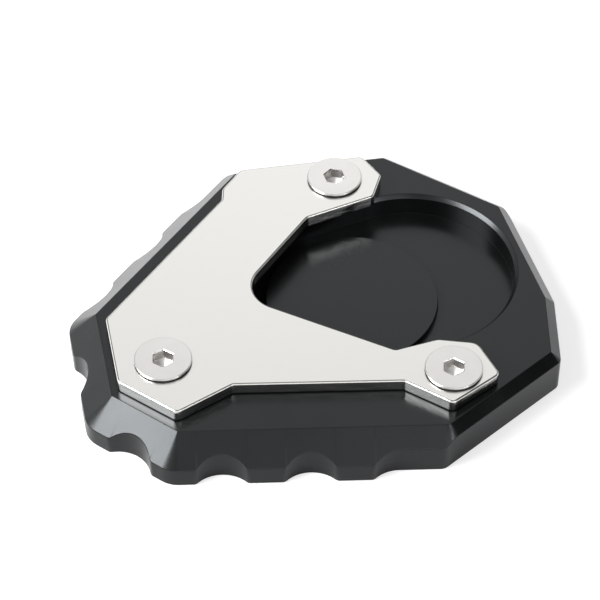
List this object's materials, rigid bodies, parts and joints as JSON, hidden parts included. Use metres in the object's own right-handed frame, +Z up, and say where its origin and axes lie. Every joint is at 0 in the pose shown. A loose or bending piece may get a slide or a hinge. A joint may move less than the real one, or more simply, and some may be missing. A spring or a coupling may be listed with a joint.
{
  "type": "kickstand foot enlarger",
  "caption": "Flat side-stand foot plate with a pocket and a round pad for the stand's foot, a bright clamp plate over it, countersunk screws and scalloped, bevelled edges.",
  "frame": {"origin": "on the ground face, under the centre of the round foot pad", "axes": "+X along the straight front edge, away from the widest end of the clamp plate; +Y from the front edge to the rear edge; +Z up, out of the pocket"},
  "size_m": [0.1037, 0.0872, 0.0138],
  "materials": {
    "black_anodised": "satin black anodised, machined",
    "bright_plate": "finely ground bright stainless steel",
    "screw_steel": "bright stainless steel"
  },
  "bodies": {
    "root": {"base_plate": "black_anodised", "clamp_plate": "bright_plate", "screw_front_left": "screw_steel", "screw_front_right": "screw_steel", "screw_rear": "screw_steel"}
  },
  "joints": []
}
